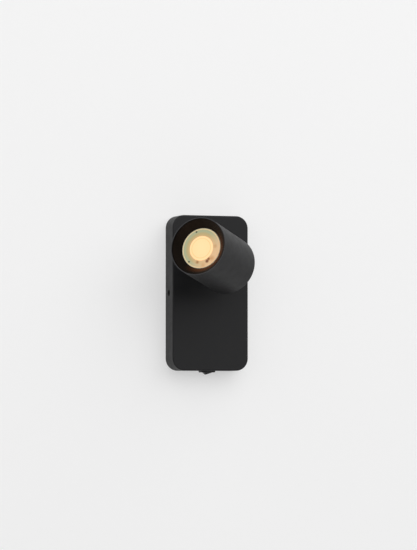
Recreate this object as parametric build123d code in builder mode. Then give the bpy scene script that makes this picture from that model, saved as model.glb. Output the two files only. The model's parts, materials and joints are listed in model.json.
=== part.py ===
from build123d import *
import os
from math import cos, radians, sin

# Pivoting spotlight wall light, in millimetres.
# +Z is up, +X is to the right seen from the room, the wall is the plane Y = 0
# and the light stands out from it toward -Y. The origin is the middle of the
# wall fixings, which is the middle of the cover on the wall.

# ---- fits and clearances ----
touch_gap = 0.05  # between a shaft or a plate and the hole it sits in
seat_gap = 0.1  # between a piece and the pocket it drops into
moving_gap = 0.3  # between faces that pass each other

# ---- cover ----
cover_width = 98.0
cover_height = 190.0
cover_depth = 26.5
cover_wall = 2.0
cover_corner = 15.2
cover_edge_round = 1.5

# ---- wall bracket ----
bracket_gauge = 1.5
strip_width = 44.0
strip_height = 140.0
arm_height = 22.0
tab_margin = 5.5  # from the side screw to the tab's edge
tab_collar = 1.5
fixing_spacing = 110.0
fixing_slot_width = 5.0
fixing_slot_length = 9.0
bracket_corner = 4.0

# ---- cover screws, countersunk M4 through the sides ----
side_screw_back = 11.5  # from the wall
side_screw_radius = 2.0
side_screw_length = 8.0
side_head_radius = 3.75
side_sink_radius = 4.2
sink_angle = 90.0
slot_cut_width = 1.0
slot_cut_depth = 0.7

# ---- cable grommet ----
grommet_bore = 4.0
grommet_neck = 6.0
grommet_flange = 8.0
grommet_lip = 1.5
grommet_edge_round = 0.5

# ---- mains terminal block ----
block_width = 30.0
block_height = 17.0
block_depth = 12.0
block_drop = 36.0  # its centre below the origin
block_pitch = 9.0
block_ways = 3
block_round = 1.2
sleeve_radius = 2.7
sleeve_bore = 1.7
clamp_screw_radius = 1.6
clamp_screw_length = 4.0
clamp_screw_pitch = 8.0
block_screw_radius = 1.5
block_screw_head_radius = 2.8
block_screw_head_height = 2.0

# ---- earth screw ----
earth_x = -15.0
earth_z = 16.0
earth_collar_radius = 4.2
earth_collar_height = 3.0
earth_screw_radius = 2.0
earth_head_radius = 4.0
earth_head_height = 2.4

# ---- rocker switch in the bottom of the cover ----
bezel_length = 18.0
bezel_width = 12.5
bezel_thickness = 2.0
bezel_corner = 1.5
bezel_edge_round = 0.9
switch_body_length = 16.6
switch_body_width = 11.6
switch_body_depth = 15.0
switch_opening_length = 15.8
switch_opening_width = 9.6
switch_opening_depth = 10.5
rocker_pivot_depth = 5.0  # above the cover's lower face
rocker_ridge = 10.0  # pivot to ridge
rocker_half_length = 6.6
rocker_shoulder = 5.9
rocker_skirt = 1.6
rocker_skirt_half_length = 7.4
rocker_skirt_top = 2.2
rocker_ridge_width = 5.0
rocker_stub_radius = 1.2
rocker_stub_length = 0.7
rocker_throw = 26.0
tab_width = 4.8
tab_gauge = 0.8
tab_length = 8.0
tab_spacing = 7.0

# ---- swivel ----
swivel_height = 36.2  # above the origin
stem_radius = 5.0
stem_bore = 3.2
stem_flat = 4.3
stem_tail = 11.0  # inside the cover, from its front wall's outer face
stem_flange_radius = 10.0
stem_flange = 1.0
nylon_gauge = 0.5
inner_washer_gauge = 1.0
washer_radius = 9.0
stop_gauge = 1.2
stop_reach = 15.0
stop_lug_width = 3.0
stop_peg_radius = 1.25
stop_peg_reach = 13.0
wave_washer_height = 1.2
wave_washer_radius = 8.0
lock_nut_flats = 14.0
lock_nut_height = 4.0
lead_exit_height = 16.6  # above the cover's face
lead_exit_radius = 2.4

# ---- tilt pivot ----
pivot_height = 32.5  # above the cover's face
knuckle_radius = 6.0
knuckle_width = 9.0
neck_width = 9.0
neck_length = 9.0
pivot_washer_gauge = 1.0
pivot_washer_radius = 6.0
pivot_screw_radius = 2.0
pivot_head_radius = 3.6
pivot_head_height = 2.4
pivot_head_round = 0.8
pivot_nut_flats = 7.0
pivot_nut_height = 4.0
pivot_screw_tail = 1.0

# ---- the head's pose in the photograph ----
rest_tilt = 45.8  # from straight out of the wall
rest_swivel = 17.7  # above level, to the left

# ---- head shell and the cap that closes its rear ----
head_radius = 35.6
head_wall = 1.6
cap_gauge = 1.6
cap_rim = 2.6  # the part of the cap that shows behind the shell
cap_spigot = 3.0  # how far its collar reaches into the shell
cap_collar = 1.4
rim_lip = 1.0
head_rear_round = 2.0
pivot_from_rear = 11.4
pivot_off_axis = 6.9
stem_slot_gap = 0.6

# ---- pivot bracket inside the head ----
ear_gauge = 1.5
ear_round = 5.5
ear_top = 9.0
web_half_width = 13.0
web_screw_offset = 10.0
web_screw_height = 3.5

# ---- lampholder and its bracket ----
saddle_gauge = 1.5
saddle_gap = 0.6  # between the saddle and the knuckle
saddle_width = 18.0
saddle_leg = 18.0
saddle_foot = 9.0
saddle_screw_offset = 23.0
small_screw_radius = 1.5
small_head_radius = 2.8
small_screw_length = 5.0
small_head_height = 1.8
holder_length = 15.1
holder_radius = 14.0
holder_edge_round = 1.5
holder_screw_offset = 9.0
holder_screw_height = 4.0
holder_plate = 4.2
pin_circle = 10.0
pin_neck_radius = 1.5
pin_neck_length = 4.5
pin_head_radius = 2.5
pin_head_length = 3.0
pin_play = 0.3
lamp_twist = 25.0

# ---- GU10 lamp ----
lamp_radius = 25.0
lamp_length = 46.5
lamp_recess = 9.8  # front of the lamp behind the rim
lamp_base_radius = 13.5
lamp_base_length = 9.0
lamp_band = 7.0
lamp_shell = 1.6
front_ring_gauge = 2.0
front_ring_land = 0.8
lens_radius = 15.0
lens_dome = 1.2
ring_dot_radius = 0.9
ring_dot_margin = 2.2  # from the ring's outer edge to a dot's centre
ring_dot_angles = (125.0, -119.0)
lens_tail_radius = 5.0
led_board_gauge = 1.6
led_board_depth = 14.0

# ---- baffle in front of the lamp ----
baffle_setback = 1.6
baffle_gauge = 1.2
baffle_band = 6.0
baffle_gap = 0.7
baffle_skirt = 5.0

# ---- leads ----
lead_radius = 1.1
lead_insert = 4.0
lead_bend = 4.0
lead_tight_bend = 2.0
lead_run = 10.0
lead_side = 27.0
lead_rise = 6.0
stem_lead_offset = 1.15
stem_lead_reach = 7.5
holder_lead_spacing = 6.0
holder_lead_drop = 11.5
holder_lead_turn = 1.2
holder_lead_tail = 8.5

# ---- places that follow from the sizes ----
cover_face = -cover_depth
cover_inner_face = cover_wall - cover_depth
half_width = cover_width / 2
half_height = cover_height / 2
inner_half_width = half_width - cover_wall
inner_half_height = half_height - cover_wall
bracket_face = -bracket_gauge
tab_depth = side_screw_back + tab_margin
switch_back = cover_depth / 2
saddle_top = pivot_from_rear + knuckle_radius + saddle_gap
holder_back = saddle_top + saddle_gauge
holder_front = holder_back + holder_length
lamp_back = holder_front + seat_gap
lamp_front = lamp_back + lamp_length
head_length = lamp_front + lamp_recess
stem_end = cover_face + stem_tail
flange_back = cover_face - nylon_gauge

tilt = radians(rest_tilt)
swivel = radians(rest_swivel)
stem_dir = Vector(0, -1, 0)
swing_dir = Vector(-cos(swivel), 0, sin(swivel))
head_dir = stem_dir * cos(tilt) + swing_dir * sin(tilt)
head_up = stem_dir * sin(tilt) - swing_dir * cos(tilt)
tilt_dir = head_dir.cross(head_up)
swivel_centre = Vector(0, cover_face, swivel_height)
pivot = swivel_centre + stem_dir * pivot_height
head_back = pivot - head_dir * pivot_from_rear + head_up * pivot_off_axis

swivel_plane = Plane(origin=(0, 0, swivel_height), x_dir=(1, 0, 0), z_dir=(0, -1, 0))
pivot_side = Plane(origin=pivot, x_dir=swing_dir, z_dir=tilt_dir)
head = Plane(origin=head_back, x_dir=head_up, z_dir=head_dir)
head_side = Plane(origin=head_back, x_dir=head_dir, z_dir=tilt_dir)
head_top = Plane(origin=head_back, x_dir=head_dir, z_dir=-head_up)
head_axis = Axis(head_back, head_dir)
pivot_up = -pivot_off_axis

os.makedirs("parts", exist_ok=True)


def save(builder, name):
    builder.part.label = name
    export_step(builder.part, f"parts/{name}.step")


# ======== the box on the wall ========

# Cover: a box open at the wall, with holes for the stem, switch and screws.
side_planes = [
    Plane(origin=(side * half_width, -side_screw_back, 0), x_dir=(0, -side, 0), z_dir=(side, 0, 0))
    for side in (-1, 1)
]
bottom_plane = Plane(
    origin=(0, -switch_back, -half_height), x_dir=(1, 0, 0), z_dir=(0, 0, -1)
)
with BuildPart() as cover:
    with BuildSketch(Plane.XZ):
        RectangleRounded(cover_width, cover_height, cover_corner)
    extrude(amount=cover_depth)
    fillet(cover.faces().sort_by(Axis.Y)[0].edges(), cover_edge_round)
    with BuildSketch(Plane.XZ):
        RectangleRounded(2 * inner_half_width, 2 * inner_half_height, cover_corner - cover_wall)
    extrude(amount=cover_depth - cover_wall, mode=Mode.SUBTRACT)
    with BuildSketch(swivel_plane):
        Circle(stem_radius + touch_gap)
    extrude(amount=cover_depth, mode=Mode.SUBTRACT)
    with BuildSketch(bottom_plane):
        Rectangle(switch_body_length + 2 * seat_gap, switch_body_width + 2 * seat_gap)
    extrude(amount=-cover_wall, mode=Mode.SUBTRACT)
    with Locations(*side_planes):
        CounterSinkHole(
            side_screw_radius + seat_gap,
            side_sink_radius,
            depth=cover_wall,
            counter_sink_angle=sink_angle,
        )
    # peg that stops the swivel, inside the front wall
    stop_peg_height = inner_washer_gauge + stop_gauge
    with BuildSketch(swivel_plane.offset(-cover_inner_face)):
        with Locations((0, -stop_peg_reach)):
            Circle(stop_peg_radius)
    extrude(amount=-stop_peg_height)
save(cover, "cover")

# Wall bracket: a strip and a cross arm, with a tab bent out behind each cover screw.
tab_outer = inner_half_width - seat_gap
with BuildPart() as wall_bracket:
    with BuildSketch(Plane.XZ):
        RectangleRounded(strip_width, strip_height, bracket_corner)
        Rectangle(2 * tab_outer, arm_height)
        with Locations((0, fixing_spacing / 2), (0, -fixing_spacing / 2)):
            SlotOverall(fixing_slot_length, fixing_slot_width, rotation=90, mode=Mode.SUBTRACT)
        Circle(grommet_neck + touch_gap, mode=Mode.SUBTRACT)
    extrude(amount=bracket_gauge)
    for side in (-1, 1):
        tab_plane = Plane(
            origin=(side * tab_outer, -side_screw_back, 0), x_dir=(0, -side, 0), z_dir=(side, 0, 0)
        )
        with BuildSketch(tab_plane):
            with Locations((side * (tab_depth / 2 - side_screw_back), 0)):
                Rectangle(tab_depth, arm_height)
        extrude(amount=-bracket_gauge)
        with BuildSketch(tab_plane):
            Circle(side_screw_radius + tab_collar)
        extrude(amount=-bracket_gauge - tab_collar)
        with BuildSketch(tab_plane):
            Circle(side_screw_radius + touch_gap)
        extrude(amount=-bracket_gauge - tab_collar, mode=Mode.SUBTRACT)
    # collar for the earth screw and for the terminal block's screw
    with BuildSketch(Plane.XZ):
        with Locations((earth_x, earth_z)):
            Circle(earth_collar_radius)
    extrude(amount=earth_collar_height + bracket_gauge)
    with BuildSketch(Plane.XZ):
        with Locations((earth_x, earth_z)):
            Circle(earth_screw_radius + touch_gap)
        with Locations((-block_pitch / 2, -block_drop)):
            Circle(block_screw_radius + touch_gap)
    extrude(amount=earth_collar_height + bracket_gauge, mode=Mode.SUBTRACT)
save(wall_bracket, "wall_bracket")

# Cover screws: countersunk, a little below the surface, with a driver slot.
head_drop = side_sink_radius - side_head_radius - touch_gap
head_cone = side_head_radius - side_screw_radius
with BuildPart() as cover_screws:
    for side_plane in side_planes:
        with BuildSketch(side_plane.offset(-head_drop)):
            Circle(side_head_radius)
        extrude(amount=-head_cone, taper=sink_angle / 2)
        with BuildSketch(side_plane.offset(-head_drop)):
            Circle(side_screw_radius)
        extrude(amount=-side_screw_length)
        with BuildSketch(side_plane.offset(-head_drop)):
            Rectangle(2 * side_head_radius, slot_cut_width)
        extrude(amount=-slot_cut_depth, mode=Mode.SUBTRACT)
save(cover_screws, "cover_screws")

# Rubber grommet where the mains cable comes through the bracket.
with BuildPart() as cable_grommet:
    with BuildSketch(Plane.XZ):
        Circle(grommet_neck)
    extrude(amount=bracket_gauge + grommet_lip)
    with BuildSketch(Plane.XZ.offset(bracket_gauge)):
        Circle(grommet_flange)
    extrude(amount=grommet_lip)
    fillet(cable_grommet.faces().sort_by(Axis.Y)[0].edges(), grommet_edge_round)
    with BuildSketch(Plane.XZ):
        Circle(grommet_bore)
    extrude(amount=bracket_gauge + grommet_lip, mode=Mode.SUBTRACT)
save(cable_grommet, "cable_grommet")

# Terminal block: three brass sleeves in a moulded block, two clamp screws to each.
block_plane = Plane(origin=(0, bracket_face, -block_drop), x_dir=(1, 0, 0), z_dir=(0, -1, 0))
sleeve_depth = block_depth / 2
sleeve_y = bracket_face - sleeve_depth
way_offsets = [(way - (block_ways - 1) / 2) * block_pitch for way in range(block_ways)]
sleeve_plane = Plane(origin=(0, sleeve_y, -block_drop), x_dir=(1, 0, 0), z_dir=(0, 0, 1))
clamp_points = [
    (way, end * clamp_screw_pitch / 2) for way in way_offsets for end in (-1, 1)
]
clamp_seat = sleeve_bore + clamp_screw_length
with BuildPart() as terminal_block:
    with BuildSketch(block_plane):
        Rectangle(block_width, block_height)
    extrude(amount=block_depth)
    fillet(terminal_block.faces().sort_by(Axis.Y)[0].edges(), block_round)
    with BuildSketch(sleeve_plane):
        with Locations(*[(way, 0) for way in way_offsets]):
            Circle(sleeve_radius + touch_gap)
    extrude(amount=block_height / 2, both=True, mode=Mode.SUBTRACT)
    with BuildSketch(block_plane.offset(sleeve_depth)):
        with Locations(*clamp_points):
            Circle(clamp_screw_radius + seat_gap)
    extrude(amount=block_depth, mode=Mode.SUBTRACT)
    with BuildSketch(block_plane):
        with Locations((-block_pitch / 2, 0)):
            Circle(block_screw_radius + seat_gap)
    extrude(amount=block_depth, mode=Mode.SUBTRACT)
save(terminal_block, "terminal_block")

with BuildPart() as terminal_sleeves:
    with BuildSketch(sleeve_plane):
        with Locations(*[(way, 0) for way in way_offsets]):
            Circle(sleeve_radius)
            Circle(sleeve_bore, mode=Mode.SUBTRACT)
    extrude(amount=block_height / 2 - seat_gap, both=True)
    with BuildSketch(block_plane.offset(sleeve_depth)):
        with Locations(*clamp_points):
            Circle(clamp_screw_radius + touch_gap)
    extrude(amount=sleeve_radius, mode=Mode.SUBTRACT)
save(terminal_sleeves, "terminal_sleeves")

with BuildPart() as terminal_screws:
    with BuildSketch(block_plane.offset(sleeve_depth + sleeve_bore)):
        with Locations(*clamp_points):
            Circle(clamp_screw_radius)
    extrude(amount=clamp_screw_length)
    with BuildSketch(block_plane.offset(sleeve_depth + clamp_seat)):
        with Locations(*clamp_points):
            Rectangle(2 * clamp_screw_radius, slot_cut_width)
    extrude(amount=-slot_cut_depth, mode=Mode.SUBTRACT)
save(terminal_screws, "terminal_screws")

with BuildPart() as block_screw:
    with BuildSketch(block_plane.offset(-bracket_gauge)):
        with Locations((-block_pitch / 2, 0)):
            Circle(block_screw_radius)
    extrude(amount=block_depth + bracket_gauge)
    with BuildSketch(block_plane.offset(block_depth)):
        with Locations((-block_pitch / 2, 0)):
            Circle(block_screw_head_radius)
    extrude(amount=block_screw_head_height)
    with BuildSketch(block_plane.offset(block_depth + block_screw_head_height)):
        with Locations((-block_pitch / 2, 0)):
            Rectangle(2 * block_screw_head_radius, slot_cut_width)
    extrude(amount=-slot_cut_depth, mode=Mode.SUBTRACT)
save(block_screw, "block_screw")

earth_front = bracket_gauge + earth_collar_height
with BuildPart() as earth_screw:
    with BuildSketch(Plane.XZ.offset(seat_gap)):
        with Locations((earth_x, earth_z)):
            Circle(earth_screw_radius)
    extrude(amount=earth_front - seat_gap)
    with BuildSketch(Plane.XZ.offset(earth_front)):
        with Locations((earth_x, earth_z)):
            Circle(earth_head_radius)
    extrude(amount=earth_head_height)
    with BuildSketch(Plane.XZ.offset(earth_front + earth_head_height)):
        with Locations((earth_x, earth_z)):
            Rectangle(2 * earth_head_radius, slot_cut_width)
    extrude(amount=-slot_cut_depth, mode=Mode.SUBTRACT)
save(earth_screw, "earth_screw")

# ======== the switch ========

# Housing: a bezel outside the cover and a box inside it, open below for the rocker.
rocker_pivot = Vector(0, -switch_back, rocker_pivot_depth - half_height)
rocker_side = Plane(origin=rocker_pivot, x_dir=(1, 0, 0), z_dir=(0, 1, 0))
with BuildPart() as switch_housing:
    with BuildSketch(bottom_plane):
        RectangleRounded(bezel_length, bezel_width, bezel_corner)
    extrude(amount=bezel_thickness)
    fillet(switch_housing.faces().sort_by(Axis.Z)[0].edges(), bezel_edge_round)
    with BuildSketch(bottom_plane):
        Rectangle(switch_body_length, switch_body_width)
    extrude(amount=-switch_body_depth)
    with BuildSketch(bottom_plane.offset(bezel_thickness)):
        Rectangle(switch_opening_length, switch_opening_width)
    extrude(amount=-switch_opening_depth - bezel_thickness, mode=Mode.SUBTRACT)
    with BuildSketch(rocker_side):
        Circle(rocker_stub_radius + touch_gap)
    extrude(
        amount=switch_opening_width / 2 + rocker_stub_length + seat_gap,
        both=True,
        mode=Mode.SUBTRACT,
    )
save(switch_housing, "switch_housing")

with BuildPart() as switch_tabs:
    with BuildSketch(bottom_plane.offset(-switch_body_depth)):
        with Locations((-tab_spacing / 2, 0), (tab_spacing / 2, 0)):
            Rectangle(tab_gauge, tab_width)
    extrude(amount=-tab_length)
save(switch_tabs, "switch_tabs")

# Rocker: a roof with its ridge across the middle, leaning left at rest, on two stubs.
rocker_half_width = switch_opening_width / 2 - moving_gap
rocker_lean = radians(rocker_throw / 2)
rocker_plane = Plane(
    origin=rocker_pivot, x_dir=(cos(rocker_lean), 0, -sin(rocker_lean)), z_dir=(0, 1, 0)
)
with BuildPart() as rocker:
    with BuildSketch(rocker_plane):
        Polygon(
            (-rocker_skirt_half_length, 0),
            (rocker_skirt_half_length, 0),
            (rocker_skirt_half_length, rocker_skirt_top),
            (rocker_half_length, rocker_shoulder),
            (0, rocker_ridge),
            (-rocker_half_length, rocker_shoulder),
            (-rocker_skirt_half_length, rocker_skirt_top),
            align=None,
        )
    extrude(amount=rocker_half_width, both=True)
    with BuildSketch(Plane(origin=rocker_pivot, x_dir=(0, 1, 0), z_dir=rocker_plane.x_dir)):
        Polygon(
            (-rocker_half_width, 0),
            (rocker_half_width, 0),
            (rocker_half_width, -rocker_shoulder),
            (rocker_ridge_width / 2, -rocker_ridge),
            (-rocker_ridge_width / 2, -rocker_ridge),
            (-rocker_half_width, -rocker_shoulder),
            align=None,
        )
    extrude(amount=rocker_skirt_half_length, both=True, mode=Mode.INTERSECT)
    with BuildSketch(rocker_plane):
        Circle(rocker_stub_radius + rocker_skirt)
    extrude(amount=rocker_half_width, both=True)
    with BuildSketch(rocker_plane):
        Circle(rocker_stub_radius)
    extrude(amount=rocker_half_width + moving_gap + rocker_stub_length, both=True)
save(rocker, "rocker")

# ======== the swivel ========


def ring_on_stem(inner, outer, start, height):
    with BuildPart() as ring:
        with BuildSketch(swivel_plane.offset(start)):
            Circle(outer)
            Circle(inner, mode=Mode.SUBTRACT)
        extrude(amount=height)
    return ring


# Stem: flange, hollow threaded tail, neck and knuckle in one turned piece.
neck_start = pivot_height - neck_length
lead_exit = swivel_centre + stem_dir * lead_exit_height
with BuildPart() as swivel_stem:
    with BuildSketch(swivel_plane.offset(-stem_end)):
        Circle(stem_radius)
        with Locations((0, stem_flat)):
            Rectangle(
                2 * stem_radius, stem_radius, align=(Align.CENTER, Align.MIN), mode=Mode.SUBTRACT
            )
    extrude(amount=stem_tail)
    with BuildSketch(swivel_plane.offset(cover_depth)):
        Circle(stem_radius)
    extrude(amount=neck_start)
    with BuildSketch(swivel_plane.offset(-flange_back)):
        Circle(stem_flange_radius)
    extrude(amount=stem_flange)
    with BuildSketch(pivot_side):
        Circle(knuckle_radius)
        Rectangle(neck_width, neck_length, align=(Align.CENTER, Align.MAX))
    extrude(amount=knuckle_width / 2, both=True)
    with BuildSketch(swivel_plane.offset(-stem_end)):
        Circle(stem_bore)
    extrude(amount=stem_tail + lead_exit_height + stem_bore, mode=Mode.SUBTRACT)
    with BuildSketch(Plane(origin=lead_exit, z_dir=swing_dir)):
        Circle(lead_exit_radius)
    extrude(amount=knuckle_radius, mode=Mode.SUBTRACT)
    with BuildSketch(pivot_side):
        Circle(pivot_screw_radius + touch_gap)
    extrude(amount=knuckle_width, both=True, mode=Mode.SUBTRACT)
save(swivel_stem, "swivel_stem")

stem_hole = stem_radius + touch_gap
inner_washer_start = -cover_inner_face - inner_washer_gauge
stop_start = inner_washer_start - stop_gauge
wave_start = stop_start - wave_washer_height
nut_start = wave_start - lock_nut_height

swivel_washer = ring_on_stem(stem_hole, washer_radius, cover_depth, nylon_gauge)
save(swivel_washer, "swivel_washer")
friction_washer = ring_on_stem(stem_hole, washer_radius, inner_washer_start, inner_washer_gauge)
save(friction_washer, "friction_washer")
wave_washer = ring_on_stem(stem_hole, wave_washer_radius, wave_start, wave_washer_height)
save(wave_washer, "wave_washer")

# Stop washer: keyed to the stem's flat, with a lug that meets the cover's peg.
with BuildPart() as stop_washer:
    with BuildSketch(swivel_plane.offset(stop_start)):
        Circle(washer_radius)
        Rectangle(stop_lug_width, stop_reach, align=(Align.CENTER, Align.MIN))
        with BuildSketch(mode=Mode.PRIVATE) as keyed_hole:
            Circle(stem_hole)
            with Locations((0, stem_flat + touch_gap)):
                Rectangle(
                    2 * stem_hole, stem_hole, align=(Align.CENTER, Align.MIN), mode=Mode.SUBTRACT
                )
        add(keyed_hole.sketch, mode=Mode.SUBTRACT)
    extrude(amount=stop_gauge)
save(stop_washer, "stop_washer")

with BuildPart() as lock_nut:
    with BuildSketch(swivel_plane.offset(nut_start)):
        RegularPolygon(lock_nut_flats / 2, 6, major_radius=False)
        Circle(stem_hole, mode=Mode.SUBTRACT)
    extrude(amount=lock_nut_height)
save(lock_nut, "lock_nut")

# ======== the head ========

slot_half = stem_radius + stem_slot_gap
slot_top = pivot_up + slot_half
bore_radius = head_radius - head_wall
rim_bore = head_radius - rim_lip
baffle_front = head_length - baffle_setback
baffle_seat = baffle_front - baffle_band
web_screws = [(web_screw_height, side * web_screw_offset) for side in (-1, 1)]
saddle_screws = [(0, side * saddle_screw_offset) for side in (-1, 1)]
rear_screws = [
    Plane(origin=head_back + head_up * up + tilt_dir * across, x_dir=head_up, z_dir=-head_dir)
    for up, across in web_screws + saddle_screws
]

# The space that the stem needs, from straight out of the rear to flat along the wall.
with BuildPart() as stem_slot:
    with BuildSketch(head):
        with Locations((slot_top, 0)):
            Rectangle(head_radius, 2 * slot_half, align=(Align.MAX, Align.CENTER))
    extrude(amount=pivot_from_rear)
    with BuildSketch(head_top.offset(pivot_off_axis)):
        with Locations((pivot_from_rear, 0)):
            Circle(slot_half)
            Rectangle(head_radius, 2 * slot_half, align=(Align.MAX, Align.CENTER))
    extrude(amount=head_radius)

# Shell: a tube, bored wider at the front for the baffle and slotted at the rear.
with BuildPart() as head_shell:
    with BuildSketch(head_side):
        with BuildLine():
            Polyline(
                (cap_rim, bore_radius),
                (cap_rim, head_radius),
                (head_length, head_radius),
                (head_length, rim_bore),
                (baffle_seat, rim_bore),
                (baffle_seat, bore_radius),
                (cap_rim, bore_radius),
            )
        make_face()
    revolve(axis=head_axis)
    add(stem_slot.part, mode=Mode.SUBTRACT)
save(head_shell, "head_shell")

# Rear cap: closes the shell, with a collar inside it and the rounded rear edge.
cap_radius = bore_radius - touch_gap
with BuildPart() as rear_cap:
    with BuildSketch(head_side):
        with BuildLine():
            Polyline(
                (0, 0),
                (0, head_radius),
                (cap_rim, head_radius),
                (cap_rim, cap_radius),
                (cap_rim + cap_spigot, cap_radius),
                (cap_rim + cap_spigot, cap_radius - cap_collar),
                (cap_gauge, cap_radius - cap_collar),
                (cap_gauge, 0),
                (0, 0),
            )
        make_face()
    revolve(axis=head_axis)
    fillet(rear_cap.faces().sort_by(head_axis)[0].edges(), head_rear_round)
    add(stem_slot.part, mode=Mode.SUBTRACT)
    with Locations(*rear_screws):
        CounterSinkHole(
            small_screw_radius + seat_gap,
            small_head_radius + touch_gap,
            depth=cap_gauge,
            counter_sink_angle=sink_angle,
        )
save(rear_cap, "rear_cap")

# Pivot bracket: a web against the rear cap with two ears that carry the tilt screw.
ear_inner = knuckle_width / 2 + pivot_washer_gauge
ear_outer = ear_inner + ear_gauge
ear_reach = pivot_from_rear + ear_round
with BuildPart() as pivot_bracket:
    with BuildSketch(head.offset(cap_gauge)):
        with Locations((ear_top, 0)):
            Rectangle(ear_top - slot_top, 2 * web_half_width, align=(Align.MAX, Align.CENTER))
        with Locations(*web_screws):
            Circle(small_screw_radius + touch_gap, mode=Mode.SUBTRACT)
    extrude(amount=ear_gauge)
    for side in (-1, 1):
        with BuildSketch(head_side.offset(side * ear_inner)):
            Polygon(
                (cap_gauge, ear_top),
                (cap_gauge + ear_gauge, ear_top),
                (ear_reach, pivot_up + ear_round),
                (ear_reach, pivot_up),
                (pivot_from_rear + ear_round / 2, pivot_up - ear_round),
                (cap_gauge, pivot_up - ear_round),
                align=None,
            )
        extrude(amount=side * ear_gauge)
    with BuildSketch(head_side):
        with Locations((pivot_from_rear, pivot_up)):
            Circle(pivot_screw_radius + touch_gap)
    extrude(amount=ear_outer, both=True, mode=Mode.SUBTRACT)
save(pivot_bracket, "pivot_bracket")

# Tilt screw, nut and the two nylon washers that rub on the knuckle.
pivot_tail = ear_outer + pivot_nut_height + pivot_screw_tail
with BuildPart() as pivot_screw:
    with BuildSketch(pivot_side.offset(-pivot_tail)):
        Circle(pivot_screw_radius)
    extrude(amount=pivot_tail + ear_outer)
    with BuildSketch(pivot_side.offset(ear_outer)):
        Circle(pivot_head_radius)
    extrude(amount=pivot_head_height)
    fillet(pivot_screw.faces().sort_by(Axis(pivot, tilt_dir))[-1].edges(), pivot_head_round)
    with BuildSketch(pivot_side.offset(ear_outer + pivot_head_height)):
        Rectangle(2 * pivot_head_radius, slot_cut_width)
    extrude(amount=-slot_cut_depth, mode=Mode.SUBTRACT)
save(pivot_screw, "pivot_screw")

with BuildPart() as pivot_nut:
    with BuildSketch(pivot_side.offset(-ear_outer)):
        RegularPolygon(pivot_nut_flats / 2, 6, major_radius=False)
        Circle(pivot_screw_radius + touch_gap, mode=Mode.SUBTRACT)
    extrude(amount=-pivot_nut_height)
save(pivot_nut, "pivot_nut")

with BuildPart() as pivot_washers:
    for side in (-1, 1):
        with BuildSketch(pivot_side.offset(side * knuckle_width / 2)):
            Circle(pivot_washer_radius)
            Circle(pivot_screw_radius + touch_gap, mode=Mode.SUBTRACT)
        extrude(amount=side * pivot_washer_gauge)
save(pivot_washers, "pivot_washers")

# Countersunk screws through the rear cap, into the two brackets.
with BuildPart() as rear_cap_screws:
    for rear_screw in rear_screws:
        with BuildSketch(rear_screw.offset(-touch_gap)):
            Circle(small_head_radius)
        extrude(amount=small_screw_radius - small_head_radius, taper=sink_angle / 2)
        with BuildSketch(rear_screw.offset(-touch_gap)):
            Circle(small_screw_radius)
        extrude(amount=-small_screw_length)
        with BuildSketch(rear_screw.offset(-touch_gap)):
            Rectangle(2 * small_head_radius, slot_cut_width)
        extrude(amount=-slot_cut_depth, mode=Mode.SUBTRACT)
save(rear_cap_screws, "rear_cap_screws")

# Saddle: a bent steel strip that carries the lampholder over the pivot.
holder_screws = [(holder_screw_height, side * holder_screw_offset) for side in (-1, 1)]
holder_leads = [(-holder_lead_drop, side * holder_lead_spacing / 2) for side in (-1, 1)]
with BuildPart() as lampholder_saddle:
    with BuildSketch(head_top):
        with Locations((saddle_top, 0)):
            Rectangle(saddle_gauge, 2 * saddle_leg, align=(Align.MIN, Align.CENTER))
        for side in (-1, 1):
            with Locations((cap_gauge, side * (saddle_leg - saddle_gauge / 2))):
                Rectangle(holder_back - cap_gauge, saddle_gauge, align=(Align.MIN, Align.CENTER))
            with Locations((cap_gauge, side * (saddle_leg + saddle_foot / 2))):
                Rectangle(saddle_gauge, saddle_foot, align=(Align.MIN, Align.CENTER))
    extrude(amount=saddle_width / 2, both=True)
    with BuildSketch(head):
        with Locations(*saddle_screws):
            Circle(small_screw_radius + touch_gap)
        with Locations(*holder_screws):
            Circle(small_screw_radius + touch_gap)
    extrude(amount=holder_back, mode=Mode.SUBTRACT)
save(lampholder_saddle, "lampholder_saddle")

# Ceramic lampholder: two keyhole arcs that the pins of the lamp turn into.
pin_radius = pin_circle / 2
pin_back = holder_front - pin_neck_length - pin_head_length
with BuildPart() as lampholder:
    with BuildSketch(head.offset(holder_back)):
        Circle(holder_radius)
    extrude(amount=holder_length)
    fillet(lampholder.faces().sort_by(head_axis)[-1].edges(), holder_edge_round)
    for turn in (90, 270):
        with BuildSketch(head.offset(holder_front)):
            with BuildSketch(mode=Mode.PRIVATE) as neck_slot:
                with BuildLine():
                    neck_arc = CenterArc((0, 0), pin_radius, turn, lamp_twist)
                SlotArc(neck_arc, 2 * (pin_neck_radius + pin_play))
            add(neck_slot.sketch)
            with PolarLocations(pin_radius, 1, turn + lamp_twist):
                Circle(pin_head_radius + pin_play)
        extrude(amount=-holder_plate, mode=Mode.SUBTRACT)
        with BuildSketch(head.offset(holder_front - holder_plate)):
            with BuildSketch(mode=Mode.PRIVATE) as head_slot:
                with BuildLine():
                    head_arc = CenterArc((0, 0), pin_radius, turn, lamp_twist)
                SlotArc(head_arc, 2 * (pin_head_radius + pin_play))
            add(head_slot.sketch)
        extrude(amount=-(holder_front - holder_plate - pin_back + pin_play), mode=Mode.SUBTRACT)
    with BuildSketch(head.offset(holder_back)):
        with Locations(*holder_screws):
            Circle(small_screw_radius + touch_gap)
    extrude(amount=small_screw_length, mode=Mode.SUBTRACT)
    with BuildSketch(head.offset(holder_back)):
        with Locations(*holder_leads):
            Circle(lead_radius + touch_gap)
    extrude(amount=lead_insert, mode=Mode.SUBTRACT)
save(lampholder, "lampholder")

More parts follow.
